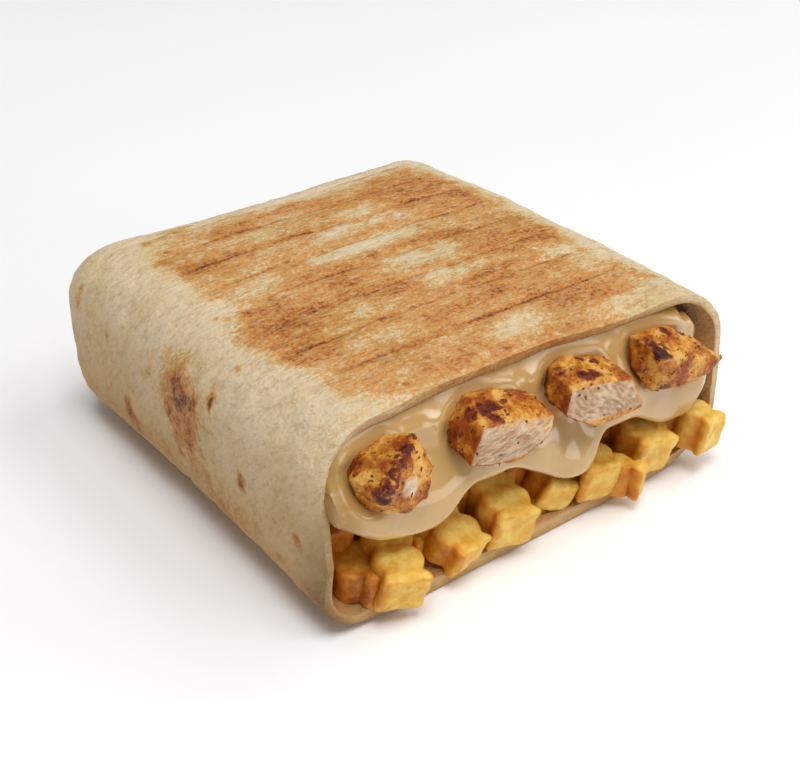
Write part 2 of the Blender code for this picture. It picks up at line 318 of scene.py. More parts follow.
def roundedBlock(inset, front, cell, firstCell=0):
    low = (-pocket["width"] / 2 + inset, front, inset)
    high = (pocket["width"] / 2 - inset, pocket["depth"] - inset, pocket["height"] - inset)
    lowRadii = (pocket["sideRadius"] - inset, 0, pocket["bottomRadius"] - inset)
    highRadii = (pocket["sideRadius"] - inset, pocket["backRadius"] - inset, pocket["topRadius"] - inset)
    first = (0, firstCell, 0)
    lines = [stops(low[a], high[a], lowRadii[a], highRadii[a], cell, first[a]) for a in range(3)]
    bm = gridCube([len(line) - 2 for line in lines])
    for vert in bm.verts:
        corner = []
        reach = []
        for axis in range(3):
            value = lines[axis][round((vert.co[axis] + 0.5) * (len(lines[axis]) - 1))]
            inner = clamp(value, low[axis] + lowRadii[axis], high[axis] - highRadii[axis])
            radius = lowRadii[axis] if value < inner else highRadii[axis]
            corner.append((inner, radius))
            reach.append((value - inner) / radius if radius else 0.0)
        length = math.sqrt(sum(r * r for r in reach))
        scale = max(abs(r) for r in reach) / length if length > 0 else 0.0
        vert.co = puff([inner + radius * r * scale for (inner, radius), r in zip(corner, reach)])
    return bm


# tortilla

tortilla = {
    "cell": 1.15,
    "rimRound": 2.4, "rimSegments": 6, "rimAngle": 50, "rimCell": 2.7,
    "rimThin": 0.58, "thinY": (-2, 16),
    # the thinning is strongest along the top and the sides
    "thinLeast": 0.45, "thinZ": (30, 52), "thinX": (50, 64),
    # the top edge of the mouth sits back from the plain form, by x, and rolls down
    "rimBack": [(-70, 0.4), (-52, 1.0), (-22, 3.0), (6, 3.0), (32, 0.6), (60, 0)],
    "backZ": (40, 57), "backY": (2, 26),
    "rimDroop": 2.8, "droopFrom": 3.5, "droopTo": 13, "droopLess": 0.8, "droopLessX": (34, 60),
    # how browned that edge is, by x
    "rimTones": [
        (-70, 0.1), (-48, 0.1), (-27, 0.35), (0, 0.5), (15, 0.65), (27, 0.5), (42, 0.2), (60, 0.05),
    ],
    "toneY": (8, 15), "toneZ": (44, 54),
    # relief of the dough: heights and sizes; the pillows are lower on a flat face,
    # and the dents deeper on a side
    "pillow": 0.55, "pillowSize": 24, "pillowLess": 0.55,
    "dents": 0.30, "dentSize": 8, "dentLeast": 0.6, "dentMore": 0.6,
    "grain": 0.2, "grainSize": 3.4,
    "crease": 0.42, "creaseSize": 4.2, "creaseLength": 0.35, "creaseSharp": 0.5,
    "mouthCalm": 0.45, "calmY": (0, 16),    # share of the relief that is left at the mouth
    "pressStart": 25.0, "pressPitch": 14.3, "pressLines": 7,
    "pressDepth": 0.4, "pressWidth": 1.3, "pressSwell": 0.18,
    "pressWander": 0.8, "wanderSize": 20, "pressReach": 56, "pressFade": 8,
    # how far a face has to turn up or sideways to count as top or side
    "facingUp": (0.55, 0.95), "facingSide": (0.35, 0.85), "facingFlat": (0.7, 0.98),
    "sideFrom": 0.2, "underFrom": 0.3, "restFrom": 0.4,
    # the pressed and browned field on the top, from corner to corner
    "fieldLow": (-49, 10), "fieldHigh": (54, 123), "fieldFade": 9,
    "fieldWobble": 5, "wobbleSize": 14, "fieldCorner": 5,
    # how browned it is at the front, what it loses towards the back, and its streaks
    "fieldTone": 0.58, "toneLoss": 0.17, "lossY": (15, 115),
    "streaks": 0.14, "streakSize": 6, "streakLength": 2.5,
    "markShare": 0.65, "topMost": 0.9,
    "underTone": 0.4, "underStreaks": 0.16, "underMarks": 0.8,
    "rightShift": 3, "backShift": 60, "backMarks": 0.7,
    # the marks' ragged outlines, coarse and fine: strength and size; and how each mark fades
    "ragged": (0.55, 5.5), "raggedFine": (0.35, 2.2), "markFade": (0.45, 1.5), "markReach": 1.8,
    # how deep in the wall the browning ends, where the pressed lines show, where the low sides
    # get painted shade, darker and warmer, and where the left side gets painted shade at the mouth
    "toastDepth": (0.35, 0.9), "pressIn": 2, "pressY": (16, 20), "pressFacing": (0.9, 0.98),
    "warmFacing": (-0.75, 0.1), "warmUnder": (15, 55), "warmLeast": 0.3,
    "warmDepth": (0.1, 0.5), "warmLoss": 0.6,
    "duskFacing": (0.2, 0.7), "duskUnder": (12, 45),
}

# where the plates browned the top more, or less: x, y, half length, half width, strength
toastMarks = [
    (36, 107, 15, 11, 0.75), (52, 91, 6, 8, 0.4), (12, 111, 8, 4, 0.6), (3, 117, 8, 4, 0.5),
    (-14, 118, 11, 3, 0.4), (-23, 112, 7, 4, 0.6), (-45, 96, 8, 6, 0.65), (-29, 98, 15, 2.5, 0.6),
    (-7, 97, 13, 2, 0.5), (26, 96, 16, 1.5, 0.45), (46, 97, 8, 6, 0.45), (-45, 57, 9, 9, 0.95),
    (-50, 47, 7, 8, 0.75), (-46, 38, 10, 6, 0.65), (-33, 48, 8, 3, 0.4), (-25, 56, 16, 2, 0.5),
    (-9, 52, 8, 4, 0.45), (-4, 49, 6, 3, 0.6), (16, 41, 8, 3, 0.8), (29, 43, 10, 2.5, 0.5),
    (40, 54, 14, 5, 0.65), (50, 53, 6, 6, 0.55), (29, 57, 7, 3, 0.55), (34, 61, 8, 6, 0.4),
    (49, 64, 6, 4, 0.4), (19, 71, 8, 3, 0.6), (29, 70, 7, 3, 0.55), (3, 71, 8, 3, 0.5),
    (-22, 70, 12, 3, 0.45), (-10, 64, 9, 5, 0.3), (-25, 62, 12, 5, 0.25), (8, 86, 9, 4, 0.45),
    (-29, 88, 18, 6, 0.2), (-50, 83, 7, 6, 0.2), (38, 89, 14, 8, 0.3), (46, 80, 12, 8, 0.2),
    (28, 22, 10, 6, 0.65), (37, 17, 8, 5, 0.5), (0, 25, 48, 1.5, 0.5), (-5, 8, 8, 3, 0.5),
    (6, 10, 9, 2.5, 0.35), (-11, 17, 8, 5, 0.2), (-3, 33, 20, 3.5, 0.3), (21, 33, 12, 4, 0.35),
    (-41, 109, 9, 3, 0.15), (-51, 107, 3, 2.5, 0.7), (-48, 122, 2, 3, 0.8), (58, 16, 2, 2, 0.8),
    (-35, 127, 6, 1.2, 0.8), (14, 64, 2, 1.4, 0.8), (8, 56, 4, 1.6, 0.6), (60, 36, 1.2, 3, 0.4),
    (2, 90, 11, 4, -0.6), (20, 91, 7, 4, -0.45), (-9, 78, 12, 3, -0.6), (8, 78, 13, 4.5, -0.6),
    (12, 63, 14, 6, -0.6), (7, 49, 8, 5, -0.6), (17, 49, 5, 4, -0.35), (-26, 48, 8, 4, -0.5),
    (-28, 33, 10, 4, -0.5), (47, 42, 9, 2.5, -0.5), (49, 32, 9, 5, -0.45), (8, 17, 11, 5, -0.55),
    (-38, 77, 9, 4, -0.45), (15, 100, 5, 4, -0.35), (-22, 106, 9, 3, -0.35), (58, 60, 4, 8, -0.3),
    (46, 75, 8, 3, -0.3), (-20, 22, 12, 3, -0.3), (-38, 9, 9, 4, 0.2), (-27, 9, 8, 4, 0.25),
    (-16, 10, 6, 4, 0.5), (9, 9, 7, 3.5, -0.35), (22, 9, 8, 3, -0.2),
]

# the same on the left side: y, z, half length, half height, strength
sideMarks = [
    (64, 40, 15, 11, 0.32), (63, 35, 7, 10, 0.6), (68, 42, 7, 6, 0.45), (57, 24, 6, 7, 0.35),
    (97, 21, 2.2, 5.5, 0.95), (94, 16, 1.8, 3, 0.6),
    (34, 31, 1.4, 2.6, 1.3), (49, 46.5, 0.9, 1.8, 1.6), (106, 41, 1.2, 2, 0.8), (124, 47, 1.2, 4, 0.5),
    (11, 26, 1.2, 1.3, 0.6), (19, 16, 1.4, 1.2, 0.6), (110, 36, 14, 9, 0.12), (80, 18, 10, 5, 0.15),
    (40, 18, 12, 5, 0.14), (50, 14, 9, 4, 0.15),
]


def marks(a, b, table, seed):
    # the sum of the soft spots at one place, with their outlines made ragged
    total = 0.0
    coarse, coarseSize = tortilla["ragged"]
    fine, fineSize = tortilla["raggedFine"]
    ragged = 1 + coarse * wave(a, b, 0, coarseSize, seed) + fine * wave(a, b, 0, fineSize, seed + 1)
    for u, v, length, height, strength in table:
        distance = math.hypot((a - u) / length, (b - v) / height) * ragged
        if distance < tortilla["markReach"]:
            total += strength * (1 - ease(distance, *tortilla["markFade"]))
    return total


def toastAt(point, normal):
    x, y, z = point
    look = tortilla
    up = ease(normal.z, *look["facingUp"])
    left = ease(-normal.x, *look["facingSide"])
    fade = look["fieldFade"]
    wobble = look["fieldWobble"] * wave(x, y, 0, look["wobbleSize"], 3)
    across = min(x - look["fieldLow"][0], look["fieldHigh"][0] - x)
    along = min(y - look["fieldLow"][1], look["fieldHigh"][1] - y)
    edge = min(across, along, 0.6 * (across + along) - look["fieldCorner"]) + wobble
    field = ease(edge, -0.5 * fade, 0.5 * fade)
    shade = look["fieldTone"] - look["toneLoss"] * ease(y, *look["lossY"])
    stretched = x / look["streakLength"]
    top = field * (shade + look["streaks"] * wave(stretched, y, 0, look["streakSize"], 5))
    top = min(top + look["markShare"] * marks(x, y, toastMarks, 1), look["topMost"])
    side = marks(y, z, sideMarks, 2) if normal.x < -look["sideFrom"] else 0.0
    # the right side, the back and the underside take the same marks, shifted or mirrored
    other = 0.0
    if normal.x > look["sideFrom"]:
        right = marks(pocket["depth"] - y, z + look["rightShift"], sideMarks, 6)
        other = ease(normal.x, *look["facingSide"]) * right
    if normal.y > look["sideFrom"]:
        back = marks(x + look["backShift"], z, sideMarks, 7)
        other = ease(normal.y, *look["facingSide"]) * look["backMarks"] * back
    if normal.z < -look["underFrom"]:
        streaks = look["underStreaks"] * wave(stretched, y, 9, look["streakSize"], 8)
        under = field * (look["underTone"] + streaks)
        under += look["underMarks"] * marks(-x, y, toastMarks, 9)
        other = max(other, ease(-normal.z, *look["facingUp"]) * under)
    return clamp(up * top + left * side + other, -0.4, 1.5)


def reliefAt(point, normal):
    x, y, z = point
    look = tortilla
    flat = ease(abs(normal.z), *look["facingFlat"])
    side = 1 - flat
    height = look["pillow"] * (1 - look["pillowLess"] * flat) * wave(x, y, z, look["pillowSize"], 1)
    dents = look["dents"] * (look["dentLeast"] + look["dentMore"] * side)
    height += dents * wave(x, y, z, look["dentSize"], 2)
    height += look["grain"] * wave(x, y, z, look["grainSize"], 3)
    # short slanting creases on the sides
    slant = wave(look["creaseLength"] * (y - z), y + z, x, look["creaseSize"], 4)
    height += look["crease"] * side * (slant - look["creaseSharp"] * abs(slant))
    if flat > 0:
        nearest = round((y - look["pressStart"]) / look["pressPitch"])
        if 0 <= nearest <= look["pressLines"]:
            away = y - look["pressStart"] - nearest * look["pressPitch"]
            away -= look["pressWander"] * wave(x, nearest * 9, 0, look["wanderSize"], 6)
            inField = ease(look["pressReach"] - abs(x), 0, look["pressFade"]) * flat
            line = math.exp(-(away / look["pressWidth"]) ** 2)
            height += inField * (look["pressSwell"] - look["pressDepth"] * line)
    # the underside only goes inwards, so that it rests flat
    if normal.z < -look["restFrom"]:
        height = -abs(height)
    calm = look["mouthCalm"]
    return height * (calm + (1 - calm) * ease(y, *look["calmY"]))


def rimBackAt(x, y, z):
    look = tortilla
    return easedLine(x, look["rimBack"]) * ease(z, *look["backZ"]) * (1 - ease(y, *look["backY"]))


def rimDroopAt(x, y, z):
    look = tortilla
    top = ease(z, *look["backZ"]) * (1 - look["droopLess"] * ease(x, *look["droopLessX"]))
    near = 0.95 * clamp((look["droopTo"] - y) / (look["droopTo"] - look["droopFrom"]))
    return look["rimDroop"] * top * (1 - math.sqrt(1 - near * near))


def tortillaMaterial():
    look = palette(
        cream=(222, 201, 166), light=(217, 187, 138), tan=(208, 158, 95), toast=(201, 140, 76),
        burnt=(185, 114, 54), inside=(190, 144, 90), green=(226, 216, 168), pale=(230, 211, 172),
        warm=(217, 184, 124), crease=(206, 184, 150), spot=(150, 92, 44), dark=(96, 52, 24),
        dusk=(184, 176, 158),
    )
    s = Shader("toastedTortilla")
    toast = s.attribute("toast")
    press = s.attribute("press")
    # thin dark lines that the plates pressed in, waving a little
    start = (toFrame @ Vector((0, tortilla["pressStart"], 0))).y
    pitch = tortilla["pressPitch"] / 1000
    wander = s.swing(s.noise(1.0, 2, 0.5, s.turned((28, 9, 9))), -0.0012, 0.0012)
    y = s.add("SeparateXYZ", {0: s.place}).outputs[1]
    steps = s.math("DIVIDE", s.math("SUBTRACT", s.plus(y, wander), start), pitch)
    away = s.math("ABSOLUTE", s.math("SUBTRACT", s.math("FRACT", s.plus(steps, 0.5)), 0.5))
    broken = s.range(s.noise(1.0, 3, 0.6, s.turned((60, 200, 200))), 0.38, 0.56)
    line = s.times(s.range(away, 0.01, 0.055, 1, 0), s.times(press, broken))

    streak = s.noise(1.0, 5, 0.65, s.turned((400, 560, 560), (0, 0, 3)))
    patch = s.noise(1.0, 4, 0.6, s.turned((110, 190, 190), (0, 0, 3)))
    fleck = s.noise(1000, 3, 0.65)
    mottle = s.plus(s.swing(streak, -0.2, 0.2), s.swing(patch, -0.13, 0.13))
    mottle = s.plus(mottle, s.swing(fleck, -0.26, 0.26))
    ragged = s.plus(toast, s.times(mottle, s.range(toast, 0, 0.35, 0.2, 1)))
    ragged = s.plus(ragged, s.times(line, 0.27))
    colour = s.ramp(s.math("DIVIDE", ragged, 1.5), [
        (0.013, look["cream"]), (0.13, look["light"]), (0.3, look["tan"]),
        (0.54, look["toast"]), (0.68, look["burnt"]), (0.95, look["dark"]),
    ])
    cloud = s.noise(45, 3, 0.5)
    colour = s.mix(s.range(cloud, 0.45, 0.75, 0, 0.6), colour, look["green"], "MULTIPLY")
    flour = s.noise(1.0, 4, 0.6, s.turned((260, 260, 800), (50, 0, 0)))
    colour = s.mix(s.range(flour, 0.52, 0.72, 0, 0.35), colour, look["pale"])
    spot = s.times(s.specks(170, (0.84, 0.9), (0.08, 0.24)), s.range(toast, 0.05, 0.4, 0.15, 0.6))
    colour = s.mix(spot, colour, look["spot"])
    # fine creases that run along the top and slant on the sides; their hollows get painted shade
    wrinkle = s.noise(1.0, 4, 0.6, s.turned((230, 230, 580), (50, 0, 0)))
    colour = s.mix(s.range(wrinkle, 0.36, 0.5, 0.3, 0), colour, look["crease"], "MULTIPLY")
    # painted shade: the low sides darker and warmer towards the bottom
    colour = s.mix(s.attribute("warm"), colour, look["warm"], "MULTIPLY")
    # painted shade: the left side darker at the mouth, towards the bottom
    colour = s.mix(s.attribute("dusk"), colour, look["dusk"], "MULTIPLY")
    colour = s.mix(s.range(s.attribute("inside"), 0.55, 1, 0, 0.75), colour, look["inside"])
    rough = s.swing(streak, 0.5, 0.68)
    height = s.math("SUBTRACT", wrinkle, s.times(line, 0.35))
    normal = s.bump(height, 0.0016, 0.8)
    normal = s.bump(s.noise(520, 4, 0.6), 0.0009, 0.6, normal)
    normal = s.bump(s.noise(1400, 3, 0.6), 0.0002, 0.5, normal)
    return s.finish(
        colour, rough, normal,
        Subsurface_Weight=0.12, Subsurface_Radius=(1.0, 0.5, 0.25), Subsurface_Scale=0.002,
        Specular_IOR_Level=0.28,
    )


def makeTortilla():
    sheet = roundedBlock(0, 0, tortilla["cell"], tortilla["rimCell"])
    sheet.normal_update()
    mouth = [f for f in sheet.faces if f.normal.y < -0.9]
    bmesh.ops.delete(sheet, geom=mouth, context="FACES")
    sheet.normal_update()
    for vert in sheet.verts:
        x, y, z = vert.co
        vert.co = vert.co + vert.normal * reliefAt(vert.co, vert.normal)
        vert.co += Vector((0, rimBackAt(x, y, z), -rimDroopAt(x, y, z)))
        vert.co.z = max(vert.co.z, 0)
    skin = BVHTree.FromBMesh(sheet)
    work = scratchObject("sheet", sheet)
    wall = work.modifiers.new("wall", "SOLIDIFY")
    wall.thickness = pocket["wall"]
    wall.offset = -1
    wall.use_even_offset = False
    rim = work.modifiers.new("rim", "BEVEL")
    rim.width = tortilla["rimRound"]
    rim.segments = tortilla["rimSegments"]
    rim.limit_method = "ANGLE"
    rim.angle_limit = math.radians(tortilla["rimAngle"])
    bm = takeResult(work)
    look = tortilla
    values = {"toast": [], "inside": [], "warm": [], "press": [], "dusk": []}
    for vert in bm.verts:
        near, normal, _, away = skin.find_nearest(vert.co)
        depth = clamp(away / pocket["wall"])
        under = pocket["height"] - near.z
        thin = look["rimThin"] * (1 - ease(near.y, *look["thinY"]))
        most = max(ease(near.z, *look["thinZ"]), ease(abs(near.x), *look["thinX"]))
        vert.co = vert.co.lerp(near, thin * (look["thinLeast"] + (1 - look["thinLeast"]) * most))
        fade = 1 - ease(depth, *look["toastDepth"])
        rim = easedLine(near.x, look["rimTones"]) * (1 - ease(near.y, *look["toneY"]))
        rim *= ease(near.z, *look["toneZ"])
        values["toast"].append(max(fade * toastAt(near, normal) if fade > 0 else 0.0, rim))
        values["inside"].append(depth)
        field = ease(look["pressReach"] - look["pressIn"] - abs(near.x), 0, look["pressFade"])
        field *= ease(near.y, *look["pressY"])
        values["press"].append(fade * ease(normal.z, *look["pressFacing"]) * field)
        # painted shade on the low sides, darker and warmer towards the bottom, less of it inside the wall
        least = look["warmLeast"]
        low = ease(-normal.z, *look["warmFacing"]) * (least + (1 - least) * ease(under, *look["warmUnder"]))
        values["warm"].append(low * (1 - look["warmLoss"] * ease(depth, *look["warmDepth"])))
        # painted shade on the left side at the mouth, towards the bottom
        left = ease(-normal.x, *look["duskFacing"]) * ease(under, *look["duskUnder"])
        values["dusk"].append((1 - ease(near.y, *look["calmY"])) * left)
    made = toObject("tortillaSkin", bm, tortillaMaterial(), values)
    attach(made, "root")
    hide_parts("tortilla")
    print("tortilla made:", len(made.data.polygons), "faces")


# fries

fries = {
    "pitch": 7.8, "depth": 1.75, "flatDepth": 0.4, "cell": 0.6, "round": 0.9, "plump": 2.1,
    "endRound": 2.4, "endShrink": 0.15, "endRagged": 0.6, "raggedSize": 4,
    # how far each fry may differ: where its ridges start, its bend, its twist, its ridges' slant
    "phase": 0.12, "bend": 1.2, "twist": 7, "slant": 0.12,
    "coreFront": 16, "coreTop": 20.5, "coreCell": 6, "coreIn": 0.4, "coreTone": -0.2,
    "blister": 0.26, "blisterSize": 2.6, "fineShare": 0.5,
    # painted shade: the left side, the edge of the right one and the front end are painted deeper and
    # darker
    "leftFrom": (0.6, 0.95), "rightFrom": (0.8, 1), "rightShare": 0.6,
    "endFrom": (0.88, 1), "endShare": 0.3, "edgeWidth": 0.4,
    # colour of the fries that are shown, of those behind them, darker as painted shade, and how far single
    # ones differ
    "tones": {"shown": 0.1, "behind": -0.5}, "toneSpread": 0.1,
    # shown fries: middle of the front end, then length, width and height, then yaw, pitch and roll
    "shown": {
        "leftLow": ((-50, 0.5, 10.2), (18, 11, 9), (34, 10, -6)),
        "leftHigh": ((-59, 9, 19.5), (18, 12, 10), (2, 6, 0)),
        "leftFront": ((-49.6, -7.8, 10.3), (27, 12, 10), (-12, 14, 12)),
        "leftTucked": ((-32, 6, 8.8), (20, 9.5, 8), (30, 6, 0)),
        "steep": ((-24.5, -4.5, 8.2), (20, 12, 8), (14, 24, 0)),
        "centre": ((-11, -5.8, 11.2), (26, 13, 11), (-8, 12, 7)),
        "turned": ((9.5, -1, 10), (19, 11.5, 8), (-6, 12, 22)),
        "under": ((4, 1.5, 6.2), (20, 8, 5), (10, 0, 0)),
        "rightCentre": ((22.5, -5, 11.4), (26, 11.5, 10), (-6, 9, 9)),
        "upright": ((34.8, -9.3, 9.4), (22, 5.5, 9), (30, 2, 0)),
        "rightFront": ((44.2, -5, 11.4), (26, 13.8, 10.8), (-4, 11, 6)),
        "rightEnd": ((64.7, -9, 12.8), (28, 10, 10), (10, 6, 6)),
    },
    # painted shade: some of them are painted darker where they lie in shadow, two at the right front a
    # little lighter
    "shade": {
        "leftLow": 0.36, "leftHigh": 0.7, "leftTucked": 0.3, "under": 0.3, "upright": 0.15,
        "leftFront": 0.15, "rightFront": -0.1, "rightEnd": -0.1,
    },
    # darker ones behind them, seen in the gaps: painted shade
    "behind": {
        "gapLeft": ((-60, 7, 10.5), (22, 10, 9), (-6, 4, 5)),
        "gapSteep": ((-38, 9, 15.5), (22, 11, 9), (16, 5, 10)),
        "gapCentre": ((-22, 8, 16), (22, 10, 9), (-12, 6, -8)),
        "gapTurned": ((2, 8, 15), (24, 11, 9), (14, 5, 12)),
        "gapUnder": ((-4, 9, 10), (22, 10, 9), (-8, 4, 0)),
        "gapRight": ((32, 8, 16.5), (22, 11, 9), (-10, 5, 6)),
        "gapEnd": ((56, 8, 14), (22, 11, 9), (8, 5, -6)),
    },
}


def makeFry(front, size, turn, seed):
    # one crinkle cut fry: a bar with rounded edges and scalloped ridges all round
    length = size[0]
    width, height = size[1] + fries["plump"], size[2] + fries["plump"]
    bm = gridCube([max(6, round(s / fries["cell"])) - 1 for s in (width, length, height)])
    draw = random.Random(seed)
    phase, bend, twist, slant = [
        draw.uniform(-fries[key], fries[key]) for key in ("phase", "bend", "twist", "slant")
    ]
    twist = math.radians(twist)
    roundness = fries["round"]
    half = Vector((width / 2, length / 2, height / 2))
    crest = bm.verts.layers.float.new("crest")
    rim = bm.verts.layers.float.new("rim")
    side = bm.verts.layers.float.new("side")
    for vert in bm.verts:
        p = Vector((vert.co.x * width, vert.co.y * length, vert.co.z * height))
        # round the bar's edges: pull back towards the smaller box, then out by one radius
        core = Vector([clamp(p[a], -half[a] + roundness, half[a] - roundness) for a in range(3)])
        outward = p - core
        edgeShare = outward.length / roundness - 1 if outward.length > 0 else 0
        if outward.length > 0:
            p = core + outward.normalized() * roundness
        # round crests with narrow valleys between them
        t = (p.y + half.y + slant * p.x) / fries["pitch"] + phase
        scallop = 0.8 * abs(math.cos(math.pi * t)) ** 0.8 + 0.2 * (0.5 + 0.5 * math.cos(2 * math.pi * t))
        # the ends draw in softly
        endShare = clamp(1 - (half.y - abs(p.y)) / fries["endRound"])
        shrink = 1 - fries["endShrink"] * (1 - math.sqrt(1 - endShare ** 2))
        sx = shrink * (1 - fries["depth"] * (1 - scallop) / half.x)
        sz = shrink * (1 - fries["flatDepth"] * (1 - scallop) / half.z)
        q = Vector((p.x * sx, p.y, p.z * sz))
        angle = twist * (p.y / half.y)
        cos, sin = math.cos(angle), math.sin(angle)
        q = Vector((q.x * cos - q.z * sin, q.y, q.x * sin + q.z * cos))
        q.x += bend * ((p.y / half.y) ** 2 - 1)
        q.y += fries["endRagged"] * wave(q.x, q.z, seed, fries["raggedSize"], 2) * abs(p.y) / half.y
        vert[crest] = scallop
        vert[rim] = clamp(edgeShare / fries["edgeWidth"])
        # painted shade mask: the left side, the right edge and the front end
        right = fries["rightShare"] * ease(p.x / half.x, *fries["rightFrom"])
        vert[side] = ease(-p.x / half.x, *fries["leftFrom"]) + right
        vert[side] = max(vert[side], fries["endShare"] * ease(-p.y / half.y, *fries["endFrom"]))
        vert.co = q + Vector((0, half.y, 0))
    bm.normal_update()
    for vert in bm.verts:
        x, y, z = vert.co
        blister = fries["blisterSize"]
        lump = wave(x, y, z, blister, seed)
        lump += fries["fineShare"] * wave(x, y, z, blister / 2.2, seed + 3)
        vert.co = vert.co + vert.normal * fries["blister"] * lump
    yaw, pitch, roll = [math.radians(t) for t in turn]
    place = Matrix.Translation(Vector(front)) @ Euler((pitch, roll, yaw), "XYZ").to_matrix().to_4x4()
    bmesh.ops.transform(bm, matrix=place, verts=bm.verts)
    return bm


def friesMaterial():
    look = palette(
        dark=(160, 88, 14), deep=(206, 122, 22), gold=(218, 156, 46), light=(232, 192, 88),
        pale=(244, 214, 124), brown=(186, 106, 28),
    )
    s = Shader("friedPotato")
    mottle = s.noise(260, 4, 0.6)
    fine = s.noise(1500, 3, 0.6)
    # painted light and shade: lighter on the crests, darker in the valleys between them
    value = s.plus(s.times(s.attribute("crest"), 0.3), s.swing(mottle, 0.1, 0.5))
    value = s.plus(value, s.plus(s.attribute("tone"), 0.25))
    # painted shade: the left sides, the right edges and the front ends darker
    value = s.math("SUBTRACT", value, s.times(s.attribute("side"), 0.36))
    colour = s.ramp(s.math("DIVIDE", value, 1.2), [
        (0, look["dark"]), (0.2, look["deep"]), (0.47, look["gold"]),
        (0.76, look["light"]), (1, look["pale"]),
    ])
    browned = s.times(s.attribute("rim"), s.range(s.noise(240, 3, 0.6), 0.42, 0.62))
    colour = s.mix(s.times(browned, 0.45), colour, look["brown"])
    rough = s.swing(fine, 0.38, 0.6)
    normal = s.bump(s.noise(500, 5, 0.65), 0.0006, 0.6)
    normal = s.bump(fine, 0.0002, 0.5, normal)
    return s.finish(
        colour, rough, normal,
        Subsurface_Weight=0.22, Subsurface_Radius=(1.0, 0.45, 0.12), Subsurface_Scale=0.004,
        Specular_IOR_Level=0.45,
    )


def makeFries():
    whole = bmesh.new()
    tones = []
    number = 0
    spread = fries["toneSpread"]
    for group, groupTone in fries["tones"].items():
        for name, data in fries[group].items():
            number += 1
            bm = makeFry(*data, seed=number)
            # each fry's tone: its group's, a random spread, less its painted shade
            own = random.Random(number * 5).uniform(-spread, spread)
            tones += [groupTone + own - fries["shade"].get(name, 0)] * len(bm.verts)
            pourInto(whole, bm)
    # the plain core deep in the pocket, painted darker as shade
    core = roundedBlock(pocket["wall"] + fries["coreIn"], fries["coreFront"], fries["coreCell"])
    bmesh.ops.bisect_plane(
        core, geom=core.verts[:] + core.edges[:] + core.faces[:], dist=0.001,
        plane_co=(0, 0, fries["coreTop"]), plane_no=(0, 0, 1), clear_outer=True,
    )
    bmesh.ops.holes_fill(core, edges=[e for e in core.edges if e.is_boundary], sides=0)
    tones += [fries["coreTone"]] * len(core.verts)
    pourInto(whole, core)
    made = toObject("crinkleFries", whole, friesMaterial(), {"tone": tones}, 60)
    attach(made, "root")
    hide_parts("fries")
    print("fries made:", len(made.data.polygons), "faces")


# chicken

